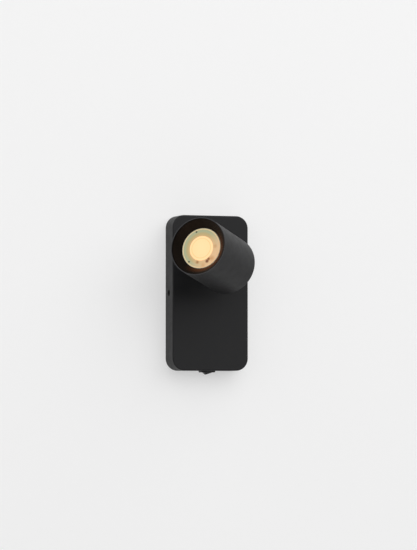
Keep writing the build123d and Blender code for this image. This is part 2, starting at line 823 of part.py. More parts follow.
with BuildPart() as lampholder_screws:
    with BuildSketch(head.offset(saddle_top)):
        with Locations(*holder_screws):
            Circle(small_screw_radius)
    extrude(amount=small_screw_length)
    with BuildSketch(head.offset(saddle_top)):
        with Locations(*holder_screws):
            Circle(small_head_radius)
    extrude(amount=-small_head_height)
    with BuildSketch(head.offset(saddle_top - small_head_height)):
        with Locations(*holder_screws):
            Rectangle(2 * small_head_radius, slot_cut_width)
    extrude(amount=slot_cut_depth, mode=Mode.SUBTRACT)
save(lampholder_screws, "lampholder_screws")

# ======== the lamp ========

cone_start = lamp_back + lamp_base_length
band_start = lamp_front - lamp_band
lamp_rim_inner = lamp_radius - front_ring_land
ring_back = lamp_front - front_ring_gauge
board_back = ring_back - led_board_depth
cone_slope = (lamp_radius - lamp_base_radius) / (band_start - cone_start)
board_seat = lamp_base_radius + cone_slope * (board_back - cone_start) - lamp_shell

# Body: base block, cone and front band, hollow from the front.
with BuildPart() as lamp_body:
    with BuildSketch(head_side):
        with BuildLine():
            Polyline(
                (lamp_back, 0),
                (lamp_back, lamp_base_radius),
                (cone_start, lamp_base_radius),
                (band_start, lamp_radius),
                (lamp_front, lamp_radius),
                (lamp_front, lamp_rim_inner),
                (ring_back, lamp_rim_inner),
                (ring_back, lamp_rim_inner - lamp_shell),
                (band_start, lamp_rim_inner - lamp_shell),
                (board_back, board_seat),
                (board_back, 0),
                (lamp_back, 0),
            )
        make_face()
    revolve(axis=head_axis)
save(lamp_body, "lamp_body")

with BuildPart() as lamp_pins:
    with BuildSketch(head.offset(lamp_back)):
        with PolarLocations(pin_radius, 2, 90):
            Circle(pin_neck_radius)
    extrude(amount=pin_back - lamp_back)
    with BuildSketch(head.offset(pin_back)):
        with PolarLocations(pin_radius, 2, 90):
            Circle(pin_head_radius)
    extrude(amount=pin_head_length)
save(lamp_pins, "lamp_pins")

# Front ring of the lamp, with two small round marks, round the centre lens.
ring_dot_circle = lamp_rim_inner - touch_gap - ring_dot_margin
with BuildPart() as lamp_front_ring:
    with BuildSketch(head.offset(ring_back)):
        Circle(lamp_rim_inner - touch_gap)
        Circle(lens_radius + touch_gap, mode=Mode.SUBTRACT)
    extrude(amount=front_ring_gauge)
    with BuildSketch(head.offset(lamp_front)):
        with Locations(*[Vector(ring_dot_circle, 0).rotate(Axis.Z, a) for a in ring_dot_angles]):
            Circle(ring_dot_radius)
    extrude(amount=-front_ring_land, mode=Mode.SUBTRACT)
save(lamp_front_ring, "lamp_front_ring")

# Centre lens: a moulded optic that stands on the light board.
board_front = board_back + led_board_gauge
lens_curve = (lens_radius**2 + lens_dome**2) / (2 * lens_dome)
with BuildPart() as lamp_lens:
    with BuildSketch(head_side):
        with BuildLine():
            Polyline(
                (lamp_front, lens_radius),
                (ring_back, lens_radius),
                (board_front, lens_tail_radius),
                (board_front, 0),
                (lamp_front + lens_dome, 0),
            )
            RadiusArc((lamp_front + lens_dome, 0), (lamp_front, lens_radius), -lens_curve)
        make_face()
    revolve(axis=head_axis)
save(lamp_lens, "lamp_lens")

with BuildPart() as light_board:
    with BuildSketch(head.offset(board_back)):
        Circle(board_seat - seat_gap)
    extrude(amount=led_board_gauge)
save(light_board, "light_board")

# ======== the baffle ========

baffle_outer = rim_bore - touch_gap
baffle_inner = lamp_radius + baffle_gap
baffle_back = lamp_front - baffle_gap
with BuildPart() as front_baffle:
    with BuildSketch(head_side):
        with BuildLine():
            Polyline(
                (baffle_front, baffle_outer),
                (baffle_seat, baffle_outer),
                (baffle_seat, baffle_outer - baffle_gauge),
                (baffle_seat + baffle_band / 2, baffle_outer - baffle_gauge),
                (baffle_back, baffle_inner + baffle_gauge),
                (baffle_back - baffle_skirt, baffle_inner + baffle_gauge),
                (baffle_back - baffle_skirt, baffle_inner),
                (baffle_back + baffle_gauge, baffle_inner),
                (baffle_front, baffle_outer - baffle_gauge),
                (baffle_front, baffle_outer),
            )
        make_face()
    revolve(axis=head_axis)
save(front_baffle, "front_baffle")

# ======== the leads ========


def sweep_leads(*routes):
    with BuildPart() as leads:
        for points, bends in routes:
            with BuildLine() as path:
                FilletPolyline(*points, radius=bends)
            with BuildSketch(Plane(origin=path.line @ 0, z_dir=path.line % 0)):
                Circle(lead_radius)
            sweep(path=path.line)
    return leads


def head_point(along, up, across):
    return head_back + head_dir * along + head_up * up + tilt_dir * across


first_way, middle_way, last_way = way_offsets
block_top = -block_drop + block_height / 2 - lead_insert
block_foot = -block_drop - block_height / 2 + lead_insert
tab_end = switch_body_depth + tab_length - half_height
stem_mouth = stem_end + moving_gap
lead_level = stem_mouth + lead_rise
earth_level = -earth_front - earth_head_height / 2

# Live, from the terminal block down to the switch.
live_lead = sweep_leads(
    (
        [
            (first_way, sleeve_y, block_foot),
            (first_way, sleeve_y, block_foot - lead_run),
            (-tab_spacing / 2, -switch_back, tab_end + lead_run),
            (-tab_spacing / 2, -switch_back, tab_end),
        ],
        lead_bend,
    )
)
save(live_lead, "live_lead")

# Switched live, from the switch up the right side to the mouth of the stem.
switched_lead = sweep_leads(
    (
        [
            (tab_spacing / 2, -switch_back, tab_end),
            (tab_spacing / 2, -switch_back, tab_end + lead_run),
            (lead_side, -switch_back, tab_end + 2 * lead_run),
            (lead_side, -switch_back, swivel_height - 3 * lead_run),
            (stem_lead_offset, lead_level, swivel_height - lead_run),
            (stem_lead_offset, lead_level, swivel_height),
            (stem_lead_offset, stem_mouth, swivel_height),
        ],
        [lead_bend, lead_bend, lead_bend, lead_bend, lead_tight_bend],
    )
)
save(switched_lead, "switched_lead")

# Neutral, from the terminal block past the grommet to the mouth of the stem.
neutral_lead = sweep_leads(
    (
        [
            (last_way, sleeve_y, block_top),
            (last_way, sleeve_y, grommet_flange),
            (-stem_lead_offset, lead_level, swivel_height - lead_run),
            (-stem_lead_offset, lead_level, swivel_height),
            (-stem_lead_offset, stem_mouth, swivel_height),
        ],
        [lead_bend, lead_bend, lead_tight_bend],
    )
)
save(neutral_lead, "neutral_lead")

# Earth, from the terminal block to the screw on the bracket.
earth_lead = sweep_leads(
    (
        [
            (middle_way, sleeve_y, block_top),
            (middle_way, sleeve_y, block_top + lead_run),
            (earth_x, earth_level, earth_z - 2 * lead_run),
            (earth_x, earth_level, earth_z - earth_head_radius - seat_gap),
        ],
        lead_bend,
    )
)
save(earth_lead, "earth_lead")

# The pair inside the stem, up the bore and out of its side.
stem_foot = swivel_centre - stem_dir * stem_tail
stem_leads = sweep_leads(
    *[
        (
            [
                stem_foot + tilt_dir * across,
                lead_exit + tilt_dir * across,
                lead_exit + swing_dir * stem_lead_reach + tilt_dir * across,
            ],
            lead_tight_bend,
        )
        for across in (-stem_lead_offset, stem_lead_offset)
    ]
)
save(stem_leads, "stem_leads")

# The pair at the back of the lampholder, cut where they flex over the pivots.
head_leads = sweep_leads(
    *[
        (
            [
                head_point(holder_back + lead_insert, -holder_lead_drop, across),
                head_point(holder_back - holder_lead_turn, -holder_lead_drop, across),
                head_point(
                    holder_back - holder_lead_turn, -holder_lead_drop - holder_lead_tail, across
                ),
            ],
            holder_lead_turn,
        )
        for across in (-holder_lead_spacing / 2, holder_lead_spacing / 2)
    ]
)
save(head_leads, "head_leads")
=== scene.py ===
import json
import math

import bmesh
import bpy
import numpy as np
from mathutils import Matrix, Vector

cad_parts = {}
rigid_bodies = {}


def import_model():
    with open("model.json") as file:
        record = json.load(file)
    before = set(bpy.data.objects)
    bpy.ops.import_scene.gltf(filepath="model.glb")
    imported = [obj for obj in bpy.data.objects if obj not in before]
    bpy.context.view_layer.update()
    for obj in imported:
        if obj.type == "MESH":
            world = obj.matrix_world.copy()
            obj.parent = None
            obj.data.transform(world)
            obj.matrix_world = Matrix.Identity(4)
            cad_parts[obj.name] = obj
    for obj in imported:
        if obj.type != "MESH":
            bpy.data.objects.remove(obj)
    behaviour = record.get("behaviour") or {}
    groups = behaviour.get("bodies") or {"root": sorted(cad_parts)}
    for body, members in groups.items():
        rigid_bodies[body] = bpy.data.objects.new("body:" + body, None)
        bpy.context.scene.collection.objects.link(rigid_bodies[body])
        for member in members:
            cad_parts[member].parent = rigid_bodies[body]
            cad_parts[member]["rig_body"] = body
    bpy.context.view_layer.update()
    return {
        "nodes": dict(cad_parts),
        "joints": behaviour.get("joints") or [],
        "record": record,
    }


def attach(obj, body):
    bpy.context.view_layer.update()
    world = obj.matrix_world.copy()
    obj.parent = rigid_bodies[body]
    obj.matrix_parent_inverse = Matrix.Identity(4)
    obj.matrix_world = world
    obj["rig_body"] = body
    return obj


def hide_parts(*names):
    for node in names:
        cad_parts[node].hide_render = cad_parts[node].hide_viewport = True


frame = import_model()
nodes = frame["nodes"]
joints = {joint["name"]: joint for joint in frame["joints"]}
slotOf = {part["node"]: part["material_slot"] for part in frame["record"]["subparts"]}
mm = 0.001
fullTurn = 2 * math.pi
print("frame loaded:", len(nodes), "nodes")


# The head's own directions, from the joints: out through the lamp, across the tilt, and square
# to both.
headBack = np.array(joints["lamp_turn"]["pos_m"])
headOut = np.array(joints["lamp_turn"]["axis"])
headAcross = -np.array(joints["tilt"]["axis"])
headUp = np.cross(headAcross, headOut)
pivotPoint = np.array(joints["tilt"]["pos_m"])
headAxes = (headBack, headUp, headAcross, headOut)


def linear(hexColour):
    # sRGB hex to the linear colour that the sockets take
    parts = [int(hexColour[i:i + 2], 16) / 255 for i in (1, 3, 5)]
    bent = [c / 12.92 if c <= 0.04045 else ((c + 0.055) / 1.055) ** 2.4 for c in parts]
    return tuple(bent) + (1.0,)


def addNode(tree, kind, settings=None, links=None):
    # one node with its settings, by socket or by property, and what feeds it
    node = tree.nodes.new(kind)
    for name, value in (settings or {}).items():
        if isinstance(name, int) or name in node.inputs:
            node.inputs[name].default_value = value
        else:
            setattr(node, name, value)
    for name, source in (links or {}).items():
        tree.links.new(source, node.inputs[name])
    return node


def newMaterial(name, sockets):
    # a material with its shader, and the sockets that are the same all over
    material = bpy.data.materials.new(name)
    material.use_nodes = True
    tree = material.node_tree
    shader = tree.nodes["Principled BSDF"]
    for socket, value in sockets.items():
        shader.inputs[socket].default_value = value
    place = addNode(tree, "ShaderNodeTexCoord").outputs["Object"]
    return material, tree, shader, place


cloudShare = (0.3, 0.7)  # the part of the noise's range that carries the change


def mottle(tree, shader, place, look):
    # cloudy change of roughness, and of colour where the look has colours: sizeMm is the cloud
    low, high = cloudShare
    cloud = addNode(tree, "ShaderNodeTexNoise", {
        "Scale": 1 / (look["sizeMm"] * mm), "Detail": 4.0, "Roughness": 0.6}, {"Vector": place})
    rough = addNode(tree, "ShaderNodeMapRange", {
        "From Min": low, "From Max": high,
        "To Min": look["roughness"][0], "To Max": look["roughness"][1]},
        {"Value": cloud.outputs["Fac"]})
    tree.links.new(rough.outputs["Result"], shader.inputs["Roughness"])
    if "colours" not in look:
        return None
    colour = addNode(tree, "ShaderNodeMapRange", {
        "data_type": "FLOAT_VECTOR", 7: (low,) * 3, 8: (high,) * 3,
        9: linear(look["colours"][0])[:3], 10: linear(look["colours"][1])[:3]},
        {6: cloud.outputs["Fac"]})
    tree.links.new(colour.outputs["Vector"], shader.inputs["Base Color"])
    return colour.outputs["Vector"]


def grain(tree, shader, place, layers):
    # bumps laid on each other: each is a grain size and a depth in millimetres
    normal = None
    for sizeMm, depthMm in layers:
        noise = addNode(tree, "ShaderNodeTexNoise", {
            "Scale": 1 / (sizeMm * mm), "Detail": 2.0, "Roughness": 0.5}, {"Vector": place})
        links = {"Height": noise.outputs["Fac"]}
        if normal is not None:
            links["Normal"] = normal
        bump = addNode(tree, "ShaderNodeBump", {
            "Strength": 1.0, "Distance": depthMm * mm}, links)
        normal = bump.outputs["Normal"]
    tree.links.new(normal, shader.inputs["Normal"])


# What each finish is, and what that gives the eye. Sizes are in millimetres. Real grain is finer
# than this picture shows, so it is drawn as coarse as it needs to show, 0.5 mm or more.
finishes = {
    # polyester powder, sprayed and baked: an even fine orange peel that spreads the light softly
    "black_powder_coat": {
        "sockets": {"IOR": 1.5, "Specular IOR Level": 0.3}, "sizeMm": 9.0,
        "colours": ("#19191b", "#1e1e1f"), "roughness": (0.50, 0.60),
        "grain": [(0.8, 0.02), (2.4, 0.025)]},
    # steel with black passivated zinc under oil: a dull near-black, a little blue, paler in patches
    "black_screws": {
        "sockets": {"IOR": 1.45, "Specular IOR Level": 0.06}, "sizeMm": 1.6,
        "colours": ("#050506", "#0d0d0f"), "roughness": (0.55, 0.7),
        "grain": [(0.5, 0.01)]},
    # bright zinc plate with a clear blue passivation: cold white metal with cloudy patches
    "zinc_plated_steel": {
        "sockets": {"Metallic": 1.0}, "sizeMm": 5.0,
        "colours": ("#b4b8bc", "#c2c6c9"), "roughness": (0.28, 0.38),
        "grain": [(0.9, 0.008)]},
    # machined brass, a little tarnished
    "brass": {
        "sockets": {"Metallic": 1.0}, "sizeMm": 3.0,
        "colours": ("#b58a3c", "#d8b565"), "roughness": (0.24, 0.40),
        "grain": [(0.6, 0.006)]},
    # pressed and fired steatite: a warm chalky white, dull, with a fine sandy surface
    "steatite": {
        "sockets": {"IOR": 1.55}, "sizeMm": 4.0,
        "colours": ("#ded7c6", "#efe9da"), "roughness": (0.55, 0.75),
        "grain": [(0.5, 0.02), (3.0, 0.03)]},
    # glass-filled nylon moulded in a spark-eroded tool: black with a fine even stipple
    "black_nylon": {
        "sockets": {"IOR": 1.53}, "sizeMm": 6.0,
        "colours": ("#111112", "#171718"), "roughness": (0.42, 0.54),
        "grain": [(0.6, 0.02)]},
    # unfilled nylon: milky and slightly see-through, with a waxy shine
    "natural_nylon": {
        "sockets": {"IOR": 1.53, "Subsurface Weight": 0.25, "Subsurface Scale": 0.001},
        "sizeMm": 3.0,
        "colours": ("#ddd6c2", "#ece7d8"), "roughness": (0.34, 0.46),
        "grain": [(0.9, 0.008)]},
    # moulded EPDM rubber: dull near-black with a dusty bloom
    "black_rubber": {
        "sockets": {"IOR": 1.5, "Specular IOR Level": 0.3}, "sizeMm": 2.5,
        "colours": ("#161616", "#232322"), "roughness": (0.72, 0.88),
        "grain": [(0.7, 0.02)]},
    # polyamide terminal strip: a clean warm white, satin
    "white_moulding": {
        "sockets": {"IOR": 1.5, "Subsurface Weight": 0.15, "Subsurface Scale": 0.001},
        "sizeMm": 6.0,
        "colours": ("#e2dfd4", "#eeece4"), "roughness": (0.36, 0.46),
        "grain": [(1.2, 0.01)]},
    # the lamp's heat-conducting plastic body: warm white, satin, finely stippled
    "lamp_white": {
        "sockets": {"IOR": 1.5}, "sizeMm": 6.0,
        "colours": ("#c9c2a8", "#d6cfb6"), "roughness": (0.38, 0.50),
        "grain": [(0.6, 0.012)]},
    # solder mask on an aluminium board: glossy white with a faint relief of the copper under it
    "circuit_board": {
        "sockets": {"IOR": 1.5}, "sizeMm": 2.0,
        "colours": ("#cfd6cf", "#eef1ec"), "roughness": (0.18, 0.30),
        "grain": [(1.8, 0.03)]},
    # extruded PVC sleeves: smooth and satin, the colour even all along
    "sleeve_brown": {
        "sockets": {"IOR": 1.53}, "sizeMm": 8.0,
        "colours": ("#4a2a18", "#573320"), "roughness": (0.34, 0.44),
        "grain": [(1.5, 0.01)]},
    "sleeve_blue": {
        "sockets": {"IOR": 1.53}, "sizeMm": 8.0,
        "colours": ("#1f5fa8", "#2a6cb4"), "roughness": (0.34, 0.44),
        "grain": [(1.5, 0.01)]},
    # silicone sleeves inside the head: clear-milky and dull
    "sleeve_silicone": {
        "sockets": {"IOR": 1.43, "Subsurface Weight": 0.3, "Subsurface Scale": 0.001},
        "sizeMm": 5.0,
        "colours": ("#cfc9bd", "#dedacf"), "roughness": (0.50, 0.62),
        "grain": [(0.8, 0.012)]},
}


def makeFinish(name, look):
    material, tree, shader, place = newMaterial(name, look["sockets"])
    mottle(tree, shader, place, look)
    grain(tree, shader, place, look["grain"])
    return material


materials = {name: makeFinish(name, look) for name, look in finishes.items()}
print("finishes made:", len(materials))


# Shapes: each is a grid of points worked out whole, in millimetres, then laid along an origin
# and three directions.
shaping = {
    "sharpAngle": 38,  # degrees: a turned or cut surface stays sharp above this
    "latheMerge": 0.002,  # in millimetres, as are the next two
    "barMerge": 0.0001,
    "toolClear": 0.5,  # how far a cutting tool stands proud of what it cuts
    "laidMerge": 1e-7,  # in metres, after the shape is laid in its place
}


def laid(local, axes):
    # a point is the origin plus its three distances along the three directions
    origin, first, second, third = axes
    across = local[..., 0:1] * first + local[..., 1:2] * second
    return origin + mm * (across + local[..., 2:3] * third)


def gridFaces(rows, columns, wrapRows):
    # squares between neighbouring points; the columns always close on themselves
    steps = np.arange(rows if wrapRows else rows - 1)
    i, j = np.meshgrid(steps, np.arange(columns), indexing="ij")
    down, right = (i + 1) % rows, (j + 1) % columns
    corners = (i * columns + j, down * columns + j, down * columns + right, i * columns + right)
    return np.stack(corners, -1).reshape(-1, 4)


def tidyMesh(mesh, mergeAt):
    # doubles merged, so that seams and poles close; faces outward; smooth but for sharp edges
    work = bmesh.new()
    work.from_mesh(mesh)
    bmesh.ops.remove_doubles(work, verts=work.verts, dist=mergeAt)
    bmesh.ops.dissolve_degenerate(work, dist=mergeAt, edges=work.edges)
    bmesh.ops.recalc_face_normals(work, faces=work.faces)
    work.to_mesh(mesh)
    work.free()
    mesh.shade_smooth()
    mesh.set_sharp_from_angle(angle=math.radians(shaping["sharpAngle"]))


def lathe(name, radius, height, sides, closed):
    # a profile turned about the third direction: x = r cos a, y = r sin a, z = height;
    # radius may be one number to a row, or a whole row of numbers, one to each angle
    angle = np.linspace(0, fullTurn, sides, endpoint=False)
    radius, height = np.asarray(radius, float), np.asarray(height, float)
    if radius.ndim == 1:
        radius = np.repeat(radius[:, None], sides, 1)
    level = np.repeat(height[:, None], sides, 1)
    points = np.stack([radius * np.cos(angle), radius * np.sin(angle), level], -1)
    faces = gridFaces(len(height), sides, closed)
    mesh = bpy.data.meshes.new(name)
    mesh.from_pydata(points.reshape(-1, 3).tolist(), [], faces.tolist())
    tidyMesh(mesh, shaping["latheMerge"])
    return mesh


def cutAway(mesh, tools):
    # the first mesh without the space that the others take, all in millimetres
    work = bpy.data.objects.new("work", mesh)
    bpy.context.scene.collection.objects.link(work)
    cutters = []
    for tool in tools:
        cutter = bpy.data.objects.new("cutter", tool)
        bpy.context.scene.collection.objects.link(cutter)
        cut = work.modifiers.new("cut", "BOOLEAN")
        cut.operation, cut.solver, cut.object = "DIFFERENCE", "EXACT", cutter
        cutters.append(cutter)
    bpy.context.view_layer.update()
    ready = work.evaluated_get(bpy.context.evaluated_depsgraph_get())
    result = bpy.data.meshes.new_from_object(ready)
    for thing in [work] + cutters:
        bpy.data.objects.remove(thing)
    result.materials.clear()
    return result


def bar(length, width, depth, taper):
    # a bar across the axis, from just above level 0 down by depth, its foot narrower by taper
    halfLength, halfWidth = length / 2, width / 2
    corners = [(x * halfLength * s, y * halfWidth * s, z)
               for z, s in ((shaping["toolClear"], 1.0), (-depth, taper))
               for x, y in ((-1, -1), (1, -1), (1, 1), (-1, 1))]
    sideFaces = [(0, 4, 5, 1), (1, 5, 6, 2), (2, 6, 7, 3), (3, 7, 4, 0)]
    mesh = bpy.data.meshes.new("bar")
    mesh.from_pydata(corners, [], [(0, 1, 2, 3), (7, 6, 5, 4)] + sideFaces)
    tidyMesh(mesh, shaping["barMerge"])
    return mesh


def setOut(name, template, places, material):
    # the same shape at each place, joined into one piece that sits at the origin
    local = np.empty(len(template.vertices) * 3)
    template.vertices.foreach_get("co", local)
    local = local.reshape(-1, 3)
    polygons = [tuple(polygon.vertices) for polygon in template.polygons]
    points = np.concatenate([laid(local, axes) for axes in places])
    faces = [tuple(v + k * len(local) for v in polygon)
             for k in range(len(places)) for polygon in polygons]
    mesh = bpy.data.meshes.new(name)
    mesh.from_pydata(points.tolist(), [], faces)
    tidyMesh(mesh, shaping["laidMerge"])
    mesh.materials.append(material)
    piece = bpy.data.objects.new(name, mesh)
    bpy.context.scene.collection.objects.link(piece)
    return piece


def standFor(piece, node):
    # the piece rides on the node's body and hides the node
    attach(piece, nodes[node]["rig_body"])
    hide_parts(node)
    return piece


def axesAlong(point, direction):
    # an origin and three directions, the third along the given one
    third = np.array(direction, float) / np.linalg.norm(direction)
    nearlyUpright = abs(third[2]) >= 0.9
    other = np.array((1.0, 0.0, 0.0)) if nearlyUpright else np.array((0.0, 0.0, 1.0))
    first = np.cross(other, third)
    first /= np.linalg.norm(first)
    return np.array(point, float), first, np.cross(third, first), third


# Screws. Each is one turned surface: the head's profile, then a thread whose radius falls from
# the crest by a share of the pitch, as a triangle wave of (depth / pitch - angle / full turn).
screwKinds = {
    "cover_screws": {
        "radius": 2.0, "length": 8.0, "pitch": 0.7,
        "head": "countersunk", "headRadius": 3.75, "headHeight": 1.75,
        "recess": "cross", "recessWidth": 1.0, "recessDepth": 1.5},
    "rear_cap_screws": {
        "radius": 1.5, "length": 5.0, "pitch": 0.5,
        "head": "countersunk", "headRadius": 2.8, "headHeight": 1.3,
        "recess": "cross", "recessWidth": 0.75, "recessDepth": 1.1},
    "lampholder_screws": {
        "radius": 1.5, "length": 6.8, "pitch": 0.5,
        "head": "pan", "headRadius": 2.8, "headHeight": 1.8,
        "recess": "cross", "recessWidth": 0.75, "recessDepth": 1.2},
    "terminal_screws": {
        "radius": 1.6, "length": 4.0, "pitch": 0.5,
        "head": "none", "headRadius": 1.6, "headHeight": 0.4,
        "recess": "slot", "recessWidth": 0.7, "recessDepth": 0.9},
    "block_screw": {
        "radius": 1.5, "length": 15.5, "pitch": 0.5,
        "head": "pan", "headRadius": 2.8, "headHeight": 2.0,
        "recess": "cross", "recessWidth": 0.75, "recessDepth": 1.2},
    "earth_screw": {
        "radius": 2.0, "length": 6.8, "pitch": 0.7,
        "head": "pan", "headRadius": 4.0, "headHeight": 2.4,
        "recess": "cross", "recessWidth": 1.0, "recessDepth": 1.5},
    "pivot_screw": {
        "radius": 2.0, "length": 21.4, "pitch": 0.7,
        "head": "pan", "headRadius": 3.6, "headHeight": 2.4,
        "recess": "slot", "recessWidth": 1.0, "recessDepth": 1.1},
}
threadRows = 8  # rows of points to one turn of a thread
screwCut = {  # millimetres, but for the shares
    "crownShare": 0.75,  # of a pan head's height
    "crownPower": 0.7,  # less than 1 makes the crown flatter
    "edge": 0.12,  # easing of the head's rim
    "setEdge": 0.3,  # and of a screw that has no head
    "threadShare": 0.55,  # the thread's depth, of its pitch
    "fade": 0.6,  # over which the thread comes and goes
    "crestGap": 0.01,  # the crest stays this far inside the plain radius
    "tipDrop": 0.5,  # how much narrower the very tip's crest is
    "tipSlope": 1.2,
    "tipCore": 0.55,
    "crossReach": 1.15,  # a recess's length, in head radii
    "slotReach": 2.4,
    "crossTaper": 0.75,
}


def headProfile(kind, cut):
    # radii and levels of the head, from the middle of its top to the foot of its underside
    big, small, tall = kind["headRadius"], kind["radius"], kind["headHeight"]
    edge = cut["edge"]
    if kind["head"] == "pan":
        # the crown is a quarter of a flattened oval: r = R sin(t)^power, z = -share H (1 - cos t)
        t = np.linspace(0, math.pi / 2, 9)
        radii = np.append(big * np.sin(t) ** cut["crownPower"], [big, big - edge, small])
        return radii, np.append(-cut["crownShare"] * tall * (1 - np.cos(t)),
                                [edge - tall, -tall, -tall])
    if kind["head"] == "countersunk":
        return (np.array([0, big - edge, big - edge / 4, big, small]),
                np.array([0, 0, -edge / 3, -edge, -tall]))
    return np.array([0, big - cut["setEdge"], big]), np.array([0, 0, -cut["setEdge"]])


def screwMesh(kind, cut, sides=36):
    small, length, pitch = kind["radius"], kind["length"], kind["pitch"]
    headRadii, headLevels = headProfile(kind, cut)
    run = length + headLevels[-1]
    rows = int(run / pitch * threadRows)
    level = headLevels[-1] - np.linspace(0, run, rows + 2)[1:-1]
    fromTip = level + length
    angle = np.linspace(0, fullTurn, sides, endpoint=False)
    wave = np.abs(2 * np.mod(level[:, None] / pitch - angle / fullTurn, 1.0) - 1)
    toEnd = np.minimum((headLevels[-1] - level) / cut["fade"], fromTip / cut["fade"])
    fade = np.clip(toEnd, 0, 1)[:, None]
    crest = np.minimum(small - cut["crestGap"], small - cut["tipDrop"] + fromTip * cut["tipSlope"])
    thread = crest[:, None] - cut["threadShare"] * pitch * wave * fade
    radii = np.concatenate([
        np.repeat(headRadii[:, None], sides, 1), thread,
        np.full((1, sides), small - cut["tipCore"]), np.zeros((1, sides))])
    levels = np.concatenate([headLevels, level, [-length, -length]])
    screw = lathe("screw", radii, levels, sides, False)
    wide, deep = kind["recessWidth"], kind["recessDepth"]
    if kind["recess"] == "slot":
        return cutAway(screw, [bar(cut["slotReach"] * kind["headRadius"], wide, deep, 1.0)])
    reach = cut["crossReach"] * kind["headRadius"]
    return cutAway(screw, [bar(reach, wide, deep, cut["crossTaper"]),
                           bar(wide, reach, deep, cut["crossTaper"])])


def headPoint(along, up, across):
    return headBack + mm * (along * headOut + up * headUp + across * headAcross)


screwPlaces = {
    "cover_screws": [
        axesAlong((side * 48.6 * mm, -11.5 * mm, 0), (side, 0, 0)) for side in (-1, 1)],
    "rear_cap_screws": [
        axesAlong(headPoint(0.05, up, across), -headOut)
        for up, across in ((3.5, -10), (3.5, 10), (0, -23), (0, 23))],
    "lampholder_screws": [
        axesAlong(headPoint(16.2, 4, across), -headOut) for across in (-9, 9)],
    "terminal_screws": [
        axesAlong((x * mm, -13.2 * mm, z * mm), (0, -1, 0))
        for x in (-9, 0, 9) for z in (-40, -32)],
    "block_screw": [axesAlong((-4.5 * mm, -15.5 * mm, -36 * mm), (0, -1, 0))],
    "earth_screw": [axesAlong((-15 * mm, -6.9 * mm, 16 * mm), (0, -1, 0))],
    "pivot_screw": [axesAlong(pivotPoint + 9.4 * mm * headAcross, headAcross)],
}
for node, kind in screwKinds.items():
    screws = setOut(node + "_turned", screwMesh(kind, screwCut), screwPlaces[node],
                    materials[slotOf[node]])
    standFor(screws, node)
print("screws cut:", sum(len(places) for places in screwPlaces.values()))


# Nuts: a hexagon whose corners are taken off by two cones, and a threaded bore.
nutKinds = {
    "lock_nut": {
        "flats": 14.0, "height": 4.0, "bore": 5.05, "pitch": 1.0,
        "axes": axesAlong((0, -15.3 * mm, 36.2 * mm), (0, 1, 0))},
    "pivot_nut": {
        "flats": 7.0, "height": 4.0, "bore": 2.05, "pitch": 0.7,
        "axes": axesAlong(pivotPoint - 11.0 * mm * headAcross, headAcross)},
}
nutCut = {  # millimetres, but for the shares
    "coneShare": 0.97,  # the cone's radius at the nut's face, of half the flats
    "coneSlope": 1.7,
    "coneRun": 0.5,  # the cone has its own close rows down to here
    "threadShare": 0.35,
    "fade": 0.4,
}


def nutMesh(kind, cut, sides=96):
    # radius = (flats / 2) / cos(angle from the middle of the nearest flat), held under a cone at
    # each end; the bore falls back from its thread as the screws' do
    angle = np.linspace(0, fullTurn, sides, endpoint=False)
    fromFlat = np.mod(angle + math.pi / 6, math.pi / 3) - math.pi / 6
    half, tall, run = kind["flats"] / 2, kind["height"], cut["coneRun"]
    hexagon = half / np.cos(fromFlat)
    level = np.concatenate([np.linspace(0, run, 6), np.linspace(run + 0.1, tall - run - 0.1, 4),
                            np.linspace(tall - run, tall, 6)])
    cone = half * cut["coneShare"] + cut["coneSlope"] * np.minimum(level, tall - level)
    outer = np.minimum(hexagon[None, :], cone[:, None])
    inside = np.linspace(tall, 0, int(tall / kind["pitch"] * threadRows) + 1)
    wave = np.abs(2 * np.mod(inside[:, None] / kind["pitch"] - angle / fullTurn, 1.0) - 1)
    fade = np.clip(np.minimum(inside, tall - inside) / cut["fade"], 0, 1)[:, None]
    bore = kind["bore"] + cut["threadShare"] * kind["pitch"] * wave * fade
    radii, levels = np.concatenate([outer, bore]), np.concatenate([level, inside])
    return lathe("nut", radii, levels, sides, True)


for node, kind in nutKinds.items():
    nut = setOut(node + "_turned", nutMesh(kind, nutCut), [kind["axes"]], materials[slotOf[node]])
    standFor(nut, node)
print("nuts turned")


# The lamp's front, the lens in its middle and the baffle round it: turned about the head's axis.
# Lengths are in millimetres, levels are from the head's rear, and directions are on the face map.
faceSpan = 50  # the width of the face map
turnSides = 128
lampFace = {
    "outer": 24.15, "inner": 15.05, "front": 81.2, "thick": 2.0,
    "bevel": 0.3,  # how much lower the ring is at the lens
    "lip": 0.8,  # width of the raised lip round the outside
    "lipGap": 0.1,  # from the lip to the ridges
    "lipEdge": 0.2,
    "sink": 0.05,  # the ridges' tops are this far under the lip
    "ridgePitch": 1.15,  # circular ridges moulded in the ring
    "ridgeDepth": 0.12,
    "dots": ((125.0, 22.0), (-119.0, 22.0)),  # two small holes: turn and distance from the middle
    "dotRadius": 0.9,
    "dotDepth": 0.8,
    "glow": 0.65,
    "frost": 0.2,  # how much of the lit colour the surface itself has
    "stops": (  # distance from the middle and colour
        (15.0, "#e9c68c"), (16.2, "#dcbd84"), (18.5, "#cdb882"), (21.5, "#b8c09a"),
        (23.0, "#beb98f"), (23.6, "#ffe6b0")),
    "skin": {"sizeMm": 3.0, "roughness": (0.35, 0.5)},
    "warmWay": (0.93, -0.37, 0),
    "warmColour": "#ffd09c",
    "marks": (  # turn, distance, size, strength and colour of each spot on the ring; the last two are painted shade in the drilled dots
        (-38, 17.2, 2.6, 1.3, "#93551f"), (-48, 18.4, 3.0, 1.4, "#7c3f14"),
        (-28, 19.5, 4.5, 0.7, "#d08c46"), (-89, 17.5, 2.8, 1.0, "#a8682e"),
        (20, 18.0, 3.4, 0.5, "#c88a4a"), (-66, 21.5, 4.0, 0.5, "#d89a52"),
        (125, 22.0, 1.5, 1.6, "#15120e"), (-119, 22.0, 1.5, 1.6, "#15120e")),
}
